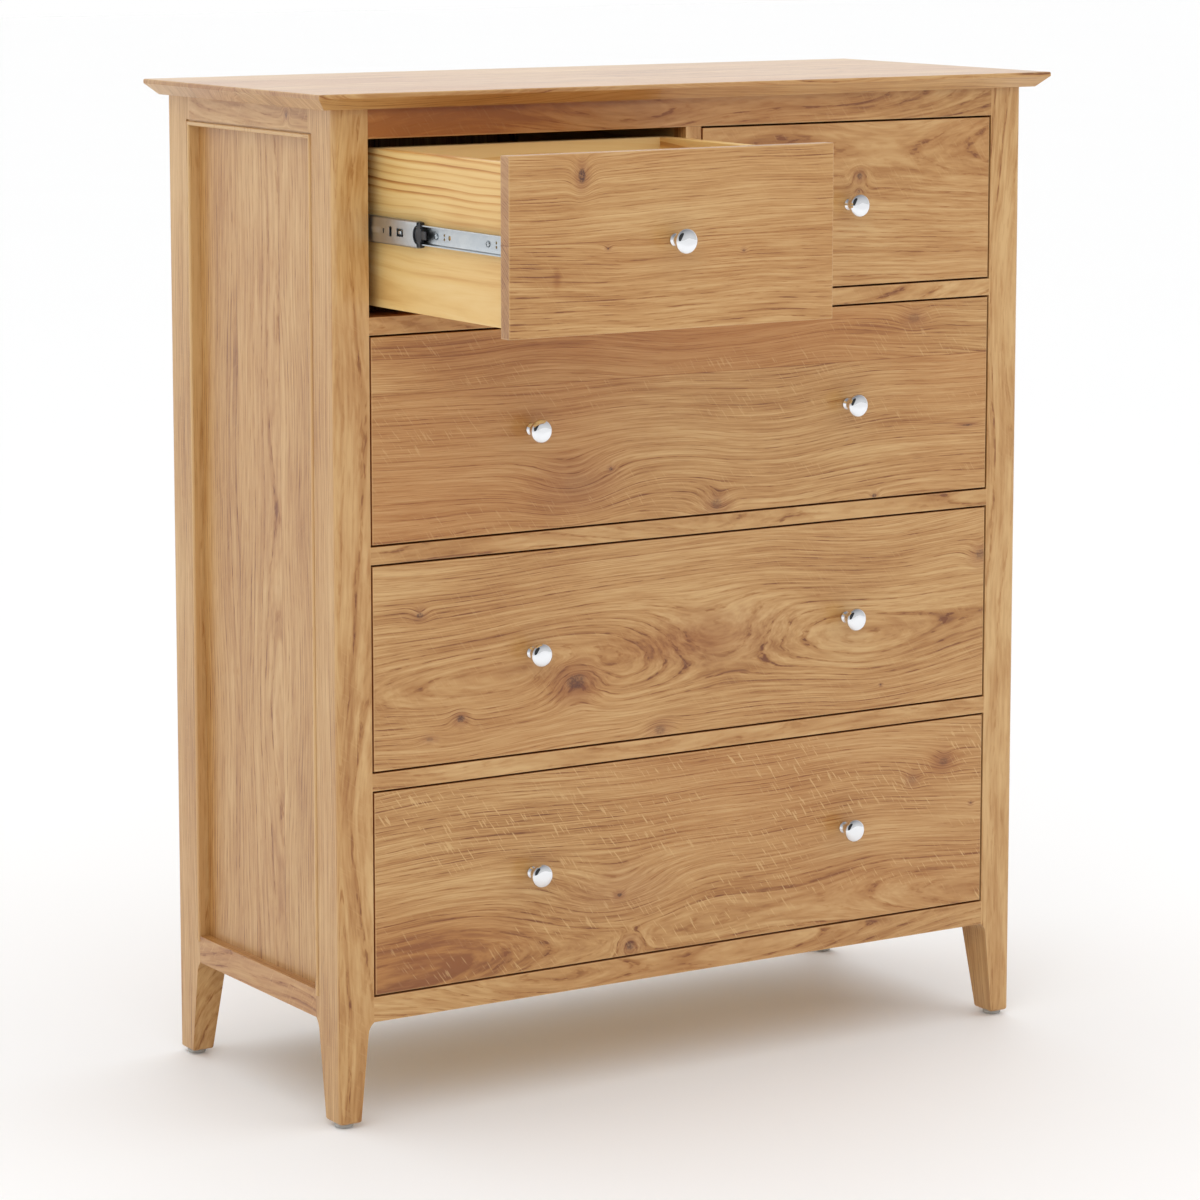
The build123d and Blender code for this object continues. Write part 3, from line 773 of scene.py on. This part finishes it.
class CHEST_OT_drawer_boxes(bpy.types.Operator):
    """Finish the pine drawer boxes and the pieces inside the carcass"""
    bl_idname = "chest.drawer_boxes"
    bl_label = "Drawer boxes and inside"

    def execute(self, context):
        look = context.scene.chest_pine
        for count, drawer in enumerate(DRAWERS):
            self.finish_box(look, drawer, 5 * count)
        inside = (("slide_battens", "YZX", 0.1), ("centre_partition", "YZX", 0.0),
                  ("back_top_rail", "XZY", 0.05), ("back_bottom_rail", "XZY", 0.05))
        for count, (node, grain, tone) in enumerate(inside):
            finish_wood(look, "pine", node, grain, (30, 60), 141 + count, wander=(24, 20),
                        fleck=0.0, tone=tone)
        return {"FINISHED"}

    def finish_box(self, look, drawer, seed):
        """Two pine sides with faint figure above and strong below, a back painted paler for light
        it lacks, a ply bottom.
        """
        sides = drawer + "_sides"
        low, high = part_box(sides)
        half_width, half_depth, half_height = (high - low) / 2 / MM
        finish_wood(look, "pine", sides, "YZX", (-62, 30 - half_width), 111 + seed,
                    wander=(12, 18), ring=0.8, fleck=0.0, ruddy=0.2, faint=(-14, 6))
        # Painted light: the back is made far paler than the sides, for light the drawer's inside
        # lacks.
        finish_wood(look, "pine", drawer + "_back", "XZY", (-20, half_depth + 55), 113 + seed,
                    about=sides, wander=(26, 24), fleck=0.0, ruddy=0.2, tone=-0.45)
        finish_wood(look, "ply", drawer + "_bottom", "XYZ", (40, -half_height - 150), 115 + seed,
                    about=sides, wander=(60, 12), ring=1.4, fleck=0.0, ruddy=0.1, tone=-0.05)


class CHEST_OT_back(bpy.types.Operator):
    """Finish the back panel and drive its screws"""
    bl_idname = "chest.back"
    bl_label = "Back"

    screws_across = 6
    screws_up = 6
    inset = 12 * MM
    sunk = 0.2 * MM
    stave_width = 131.7
    staves = 6

    def execute(self, context):
        low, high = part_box("back_panel")
        half_width = (high - low)[0] / 2 / MM
        joints = [part * self.stave_width - half_width for part in range(1, self.staves)]
        finish_wood(context.scene.chest_oak, "oak", "back_panel", "ZXY", (0, 150), 151,
                    joints=joints, wander=(40, 20), ring=1.1, fleck=0.1, tone=-0.02)
        fittings = context.scene.chest_fittings
        screw = screw_model(fittings)
        outward = Matrix.Rotation(math.radians(-90), 4, "X")
        copies = [copy_to(screw, "screw",
                          Matrix.Translation((x, high[1] - self.sunk, z)) @ outward)
                  for x, z in self.spots(low, high)]
        screws = joined("back_screws", copies)
        finish_piece(screws, "root", "zinc_steel", zinc(fittings))
        bpy.data.objects.remove(screw)
        return {"FINISHED"}

    def spots(self, low, high):
        """Where the screws go, X and Z, round the panel's edge."""
        left, right = low[0] + self.inset, high[0] - self.inset
        bottom, top = low[2] + self.inset, high[2] - self.inset
        spots = []
        for step in range(self.screws_across):
            x = left + step * (right - left) / (self.screws_across - 1)
            spots += [(x, bottom), (x, top)]
        for step in range(1, self.screws_up - 1):
            z = bottom + step * (top - bottom) / (self.screws_up - 1)
            spots += [(left, z), (right, z)]
        return spots


# Fittings ------------------------------------------------------------------------------------


def chrome(fittings):
    """Polished chrome with the faint unevenness of plating."""
    graph = Graph(bpy.data.materials.new("chrome"))
    place = graph.place()
    film = graph.noise(place, (7.0, 7.0, 7.0), 3.0, 0.6)
    rough = 0.035 + film.rise(0.45, 0.8) * 0.05
    colour = graph.mix(film.rise(0.3, 0.8) * 0.15, fittings.chrome, (0.70, 0.72, 0.75, 1.0))
    orange_peel = graph.noise(place, (2.5, 2.5, 2.5), 1.0, 0.5)
    return graph.surface(Base_Color=colour, Metallic=1.0, Roughness=rough,
                         Normal=graph.bump(orange_peel, 0.00003, 0.3))


def zinc(fittings):
    """Bright zinc plate on rolled steel, with lines along the way it was rolled."""
    found = bpy.data.materials.get("zinc_plate")
    if found:
        return found
    graph = Graph(bpy.data.materials.new("zinc_plate"))
    place = graph.place()
    lines = graph.noise(place, (0.5, 26.0, 0.5), 2.0, 0.6)
    cloud = graph.noise(place, (14.0, 14.0, 14.0), 3.0, 0.6)
    spots = graph.noise(place, (1.4, 1.4, 1.4), 1.0, 0.5).rise(0.66, 0.8)
    colour = graph.mix(cloud.rise(0.35, 0.75) * 0.5, fittings.zinc, (0.60, 0.62, 0.62, 1.0))
    colour = graph.mix(spots * 0.35, colour, (0.34, 0.34, 0.33, 1.0))
    rough = 0.26 + lines * 0.16 + spots * 0.15
    return graph.surface(Base_Color=colour, Metallic=1.0, Roughness=rough,
                         Normal=graph.bump(lines, 0.00004, 0.5))


def moulded(name, colour, rough):
    """Moulded plastic with a fine spark-eroded texture."""
    graph = Graph(bpy.data.materials.new(name))
    place = graph.place()
    grain = graph.noise(place, (0.6, 0.6, 0.6), 2.0, 0.6)
    scuff = graph.noise(place, (9.0, 9.0, 9.0), 3.0, 0.6).rise(0.5, 0.8)
    lighter = tuple(min(1.0, part * 1.5 + 0.02) for part in colour[:3]) + (1.0,)
    shade = graph.mix(scuff * 0.5, tuple(colour), lighter)
    return graph.surface(Base_Color=shade, Roughness=rough + grain * 0.1,
                         Normal=graph.bump(grain, 0.00005, 0.5))


def screw_model(fittings):
    """A pan-head screw's head with a cross recess, standing on the origin along +Z."""
    radius = fittings.screw_head
    high = radius * 0.62
    dome = [(high * math.sin(turn * math.pi / 12), radius * math.cos(turn * math.pi / 12))
            for turn in range(6)]
    head = turned("screw_head", [(-0.4 * MM, radius)] + dome, sides=20)
    arm, wide, deep = radius * 0.62, radius * 0.17, high * 0.45
    cut(head, block("arm", (-arm, -wide, deep), (arm, wide, high * 2)),
        block("arm", (-wide, -arm, deep), (wide, arm, high * 2)))
    smooth(head)
    return head


class CHEST_OT_knobs(bpy.types.Operator):
    """Turn the knobs and the screws that hold them"""
    bl_idname = "chest.knobs"
    bl_label = "Knobs"

    curve_steps = 9
    screw_proud = 0.3 * MM

    def execute(self, context):
        fittings = context.scene.chest_fittings
        low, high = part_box("drawer_upper_knobs")
        head = (high[2] - low[2]) / 2
        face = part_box("drawer_upper_front")[0][1]
        knob = self.knob(fittings, head, face - low[1])
        screw = screw_model(fittings)
        material = chrome(fittings)
        outward = Matrix.Rotation(math.radians(90), 4, "X")
        inward = Matrix.Rotation(math.radians(-90), 4, "X")
        for drawer in DRAWERS:
            low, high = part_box(drawer + "_knobs")
            front, rear = (corner[1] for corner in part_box(drawer + "_front"))
            middle_z = (low[2] + high[2]) / 2
            places = [low[0] + head]
            if high[0] - low[0] > 3 * head:
                places.append(high[0] - head)
            parts = []
            for x in places:
                at_front = Matrix.Translation((x, front, middle_z))
                at_rear = Matrix.Translation((x, rear + self.screw_proud, middle_z))
                parts += [copy_to(knob, "knob", at_front @ outward),
                          copy_to(screw, "screw", at_rear @ inward)]
            knobs = joined(drawer + "_chrome_knobs", parts)
            finish_piece(knobs, drawer, "chrome_knob", material, drawer + "_knobs")
        bpy.data.objects.remove(knob)
        bpy.data.objects.remove(screw)
        return {"FINISHED"}

    def knob(self, fittings, head, projection):
        """A mushroom knob: a foot, a slim neck that flares into the head, and a shallow dome."""
        foot, neck = fittings.knob_foot, fittings.knob_neck
        foot_high = 0.11 * projection
        flare_from, flare_to = 0.36 * projection, 0.74 * projection
        rim = 0.80 * projection
        profile = [(0, foot * 0.9), (0.2 * MM, foot), (foot_high * 0.6, foot),
                   (foot_high, foot * 0.86), (foot_high * 1.3, neck * 1.15),
                   (foot_high * 1.8, neck), (flare_from, neck)]
        for step in range(1, self.curve_steps + 1):
            turn = step / self.curve_steps * math.pi / 2
            profile.append((flare_from + (flare_to - flare_from) * math.sin(turn),
                            neck + (head * 0.96 - neck) * (1 - math.cos(turn))))
        profile += [(flare_to + 0.5 * MM, head * 0.99), (rim - 0.4 * MM, head), (rim, head)]
        for step in range(1, self.curve_steps + 1):
            turn = step / (self.curve_steps + 0.6) * math.pi / 2
            profile.append((rim + (projection - rim) * math.sin(turn),
                            head * math.cos(turn) ** 0.62))
        return turned("knob", profile, sides=64)


def channel(name, place, length, sheet, web, lip, half_height, curl=0.0):
    """A round-cornered channel that runs back from a place: where its web lies, how far its lips
    reach, half its height and the curl at each lip are in millimetres."""
    corner, steps, thick = 1.6, 4, sheet / MM
    way = 1 if lip > web else -1
    top = half_height - thick / 2
    half = [(lip, top)]
    if curl:
        half = [(lip, top - curl), (lip - way * curl * 0.3, top - curl * 0.3),
                (lip - way * curl, top)]
    for step in range(steps + 1):
        turn = step / steps * math.pi / 2
        half.append((web + way * (thick / 2 + corner * (1 - math.sin(turn))),
                     top - corner * (1 - math.cos(turn))))
    outline = [(place[0] + x * MM, place[2] + z * MM)
               for x, z in half + [(x, -z) for x, z in reversed(half)]]
    return rolled(name, outline, place[1], length, sheet)


class CHEST_OT_slides(bpy.types.Operator):
    """Roll the slides' members and fit their ball cages, stops and screws"""
    bl_idname = "chest.slides"
    bl_label = "Slides"

    balls = 9
    ball_pitch = 5.5

    def execute(self, context):
        fittings = context.scene.chest_fittings
        metal = zinc(fittings)
        black = moulded("stop_plastic", fittings.stop_plastic, 0.38)
        screw = screw_model(fittings)
        fixed = []
        outer_low, outer_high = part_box("slide_outer_members")
        for drawer in DRAWERS:
            inner_low, inner_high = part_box(drawer + "_slide_inner")
            middle_low, middle_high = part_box(drawer + "_slide_middle")
            centre_x = (inner_low[0] + inner_high[0]) / 2
            z = (inner_low[2] + inner_high[2]) / 2
            inner_place = inner_low[0], inner_low[1], z
            middle_place = middle_low[0], middle_low[1], z
            outer_place = inner_low[0] - 5.5 * MM, outer_low[1], z
            inner = self.inner(fittings, screw, inner_place, inner_high[1] - inner_low[1])
            middle = self.middle(fittings, middle_place, middle_high[1] - middle_low[1])
            stop = self.stop(middle_place)
            cage = self.cage(fittings, middle_place)
            outer = channel("outer", outer_place, outer_high[1] - outer_low[1], fittings.sheet,
                            0, 9.4, 17.5, 1.2)
            fixed += [outer, mirrored(outer, "outer", centre_x)]
            sets = ((inner, "_inner_members", drawer, metal, (drawer + "_slide_inner",)),
                    (middle, "_middle_members", drawer + "_middle_members", metal,
                     (drawer + "_slide_middle",)),
                    (stop, "_slide_stops", drawer + "_middle_members", black, ()),
                    (cage, "_ball_cages", drawer + "_middle_members", metal, ()))
            for piece, ending, body, material, nodes in sets:
                pair = joined(drawer + ending, [piece, mirrored(piece, "pair", centre_x)])
                smooth(pair)
                finish_piece(pair, body, "zinc_steel" if material is metal else "glide_plastic",
                             material, *nodes)
        outers = joined("outer_members", fixed)
        smooth(outers)
        finish_piece(outers, "root", "zinc_steel", metal, "slide_outer_members")
        bpy.data.objects.remove(screw)
        return {"FINISHED"}

    def inner(self, fittings, screw, place, length):
        """The channel on the drawer's side: screw holes, screws and pairs of lanced dimples."""
        web = 7.2
        x, y, z = place
        member = channel("inner", place, length, fittings.sheet, web, 0.6, 9.8)
        to_wall = Matrix.Rotation(math.radians(-90), 4, "Y")
        parts = [member]
        for screw_at in (37, 135, 233):
            # Each hole's place along and up from the screw, and its radius
            for shift, up, radius in ((-15, 2.1, 1.5), (-15, -2.1, 1.5), (-25, 0, 2.4)):
                hole = x + web * MM, y + (screw_at + shift) * MM, z + up * MM
                cut(member, peg(hole, radius * MM, 6 * MM))
            spot = x + web * MM - fittings.sheet, y + screw_at * MM, z
            parts.append(copy_to(screw, "screw", Matrix.Translation(spot) @ to_wall))
        return joined("inner", parts)

    def middle(self, fittings, place, length):
        """The channel between the two, with a latch window and two slots near its front end."""
        member = channel("middle", place, length, fittings.sheet, 0, 7.2, 13.4, 1.4)
        cut(member, peg((place[0], place[1] - 2 * MM, place[2]), 9.5 * MM, 6 * MM))
        # Where each window starts and ends along the member, and how tall it is
        for start, stop, tall in ((26, 39, 8.0), (49, 54, 10.0), (64, 66.5, 5.0), (150, 168, 5.0)):
            cut(member, block_from(place, "window", (-2, start, -tall / 2),
                                   (3, stop, tall / 2), 0.9))
        latch = block_from(place, "latch", (0.1, 30.5, -1.6), (1.3, 36.5, 1.6), 0.4)
        rib = block_from(place, "rib", (0, 72, -3.5), (1.2, 140, 3.5), 0.5)
        return joined("middle", [member, latch, rib])

    def stop(self, place):
        """The black stop in the middle member's front end, with an ear above and below."""
        body = block_from(place, "stop", (1.6, -6, -6.5), (3.6, 9, 6.5), 0.6)
        tongue = block_from(place, "tongue", (1.9, -15, -4.2), (3.3, -4, 4.2), 0.6)
        ears = [block_from(place, "ear", (1.4, -4.5, up - 3.4), (7.0, 3.5, up + 3.4), 0.9)
                for up in (-9.2, 9.2)]
        return joined("stop", [body, tongue] + ears)

    def cage(self, fittings, place):
        """Two rows of balls between the middle and inner members, each in its cage strip."""
        deselect_all()
        bpy.ops.mesh.primitive_uv_sphere_add(segments=12, ring_count=8,
                                             radius=fittings.ball * 0.9)
        ball = bpy.context.object
        x, y, z = place
        parts = []
        for up in (-11.0, 11.0):
            parts.append(block_from(place, "strip", (4.6, 10, up - 0.35), (6.6, 66, up + 0.35),
                                    0.15))
            for count in range(self.balls):
                spot = x + 5.6 * MM, y + (14 + count * self.ball_pitch) * MM, z + up * MM
                parts.append(copy_to(ball, "ball", Matrix.Translation(spot)))
        bpy.data.objects.remove(ball)
        return joined("cage", parts)


class CHEST_OT_glides(bpy.types.Operator):
    """Mould the glides under the feet"""
    bl_idname = "chest.glides"
    bl_label = "Foot glides"

    def execute(self, context):
        fittings = context.scene.chest_fittings
        low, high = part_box("foot_glides")
        radius = 10 * MM
        tall = high[2] - low[2]
        profile = [(0, radius * 0.35), (0, radius * 0.80), (0.4 * MM, radius * 0.90),
                   (1.4 * MM, radius * 0.985), (2.4 * MM, radius), (tall * 0.8, radius),
                   (tall, radius * 0.94)]
        glide = turned("glide", profile, sides=40)
        copies = [copy_to(glide, "glide", Matrix.Translation((x, y, low[2])))
                  for x in (low[0] + radius, high[0] - radius)
                  for y in (low[1] + radius, high[1] - radius)]
        bpy.data.objects.remove(glide)
        glides = joined("moulded_glides", copies)
        finish_piece(glides, "root", "glide_plastic",
                     moulded("glide_plastic", fittings.glide_plastic, 0.45), "foot_glides")
        return {"FINISHED"}


# Studio --------------------------------------------------------------------------------------


class CHEST_OT_studio(bpy.types.Operator):
    """Lay the floor, hang the lights and set up the camera"""
    bl_idname = "chest.studio"
    bl_label = "Studio"

    def execute(self, context):
        studio = context.scene.chest_studio
        self.floor(studio)
        self.surround(context.scene, studio)
        self.lights(studio)
        self.camera(context.scene, studio)
        context.scene.view_settings.view_transform = "Standard"
        context.scene.view_settings.look = "None"
        return {"FINISHED"}

    def floor(self, studio):
        """A pale floor under everything."""
        deselect_all()
        bpy.ops.mesh.primitive_plane_add(size=60, location=(0, 0, 0))
        floor = bpy.context.object
        floor.name = "floor"
        graph = Graph(bpy.data.materials.new("pale_floor"))
        cloud = graph.noise(graph.place(), (900.0, 900.0, 1.0), 3.0, 0.5)
        colour = graph.mix(cloud * 0.3, tuple(studio.floor), (0.96, 0.96, 0.96, 1.0))
        floor.data.materials.append(graph.surface(Base_Color=colour, Roughness=0.6 + cloud * 0.1))

    def surround(self, scene, studio):
        """A white surround; shiny pieces see it dimmer in front, with one black flag there."""
        scene.world = bpy.data.worlds.new("studio")
        graph = Graph(scene.world)
        right, ahead, up = graph.node("TexCoord", output="Generated").split()
        flag = (up * 0.41 - right * 0.33 - ahead * 0.85).rise(0.88, 0.895)
        bright = graph.ramp(up, [(0.0, (1.7, 1.7, 1.7, 1)), (0.35, (1.1, 1.1, 1.1, 1)),
                                 (1.0, (0.4, 0.4, 0.41, 1))])
        dim = graph.ramp(up, [(0.0, (0.75, 0.75, 0.75, 1)), (0.45, (0.50, 0.50, 0.51, 1)),
                              (1.0, (0.25, 0.25, 0.26, 1))])
        shine = graph.mix(ahead.rise(-0.2, 0.3), dim, bright)
        shine = graph.mix(flag * 0.95, shine, (0.02, 0.02, 0.02, 1.0))
        dome = studio.horizon + up.most(0.0) * (studio.zenith - studio.horizon)
        white = graph.node("CombineColor", {}, {0: dome, 1: dome, 2: dome})
        glossy = graph.node("LightPath", output="Is Glossy Ray")
        seen = graph.node("LightPath", output="Is Camera Ray")
        colour = graph.mix(glossy, white, shine)
        colour = graph.mix(seen, colour, (1.0, 1.0, 1.0, 1.0))
        light = graph.node("Background", {}, {"Color": colour})
        graph.node("OutputWorld", {}, {"Surface": light})

    def lights(self, studio):
        """Two large soft lights in front, left and right."""
        aim = Vector((0, 0, 0.55))
        for name, power, place, size in (("key", studio.key, (-2.6, -2.9, 2.9), 1.9),
                                         ("fill", studio.fill, (3.0, -3.0, 1.9), 1.8)):
            data = bpy.data.lights.new(name, "AREA")
            data.energy = power
            data.size = size
            lamp = bpy.data.objects.new(name, data)
            lamp.location = place
            lamp.visible_glossy = False
            lamp.rotation_euler = (aim - Vector(place)).to_track_quat("-Z", "Y").to_euler()
            bpy.context.scene.collection.objects.link(lamp)

    def camera(self, scene, studio):
        """The camera, placed from the front left leg's outer corner."""
        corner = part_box("leg_front_left")[0]
        data = bpy.data.cameras.new("camera")
        data.lens = studio.lens
        data.shift_y = studio.shift
        data.clip_end = 100.0
        camera = bpy.data.objects.new("camera", data)
        camera.location = (corner[0] - studio.stand_left, corner[1] - studio.stand_off,
                           studio.stand_high)
        ahead = Vector((math.sin(studio.turn) * math.cos(studio.tilt),
                        math.cos(studio.turn) * math.cos(studio.tilt), -math.sin(studio.tilt)))
        camera.rotation_euler = ahead.to_track_quat("-Z", "Y").to_euler()
        scene.collection.objects.link(camera)
        scene.camera = camera


# Add-on --------------------------------------------------------------------------------------


class CHEST_PT_sidebar(bpy.types.Panel):
    """The chest's finishes and fittings, in the order in which they are made"""
    bl_label = "Oak Chest"
    bl_idname = "CHEST_PT_sidebar"
    bl_space_type = "VIEW_3D"
    bl_region_type = "UI"
    bl_category = "Chest"

    def draw(self, context):
        for operator in OPERATORS:
            self.layout.operator(operator.bl_idname)
        for group in GROUPS:
            settings = getattr(context.scene, group)
            box = self.layout.box()
            for name in settings.__annotations__:
                box.prop(settings, name)


GROUPS = {"chest_oak": ChestOak, "chest_pine": ChestPine, "chest_fittings": ChestFittings,
          "chest_studio": ChestStudio}
OPERATORS = (CHEST_OT_drawer_fronts, CHEST_OT_frame, CHEST_OT_sides, CHEST_OT_top,
             CHEST_OT_drawer_boxes, CHEST_OT_back, CHEST_OT_knobs, CHEST_OT_slides,
             CHEST_OT_glides, CHEST_OT_studio)


def register():
    for cls in (*GROUPS.values(), *OPERATORS, CHEST_PT_sidebar):
        bpy.utils.register_class(cls)
    for name, group in GROUPS.items():
        setattr(bpy.types.Scene, name, bpy.props.PointerProperty(type=group))


def unregister():
    for name in GROUPS:
        delattr(bpy.types.Scene, name)
    for cls in reversed((*GROUPS.values(), *OPERATORS, CHEST_PT_sidebar)):
        bpy.utils.unregister_class(cls)


def main():
    """Makes the whole chest."""
    register()
    for operator in OPERATORS:
        getattr(bpy.ops.chest, operator.bl_idname.split(".")[1])()


if __name__ == "__main__":
    main()
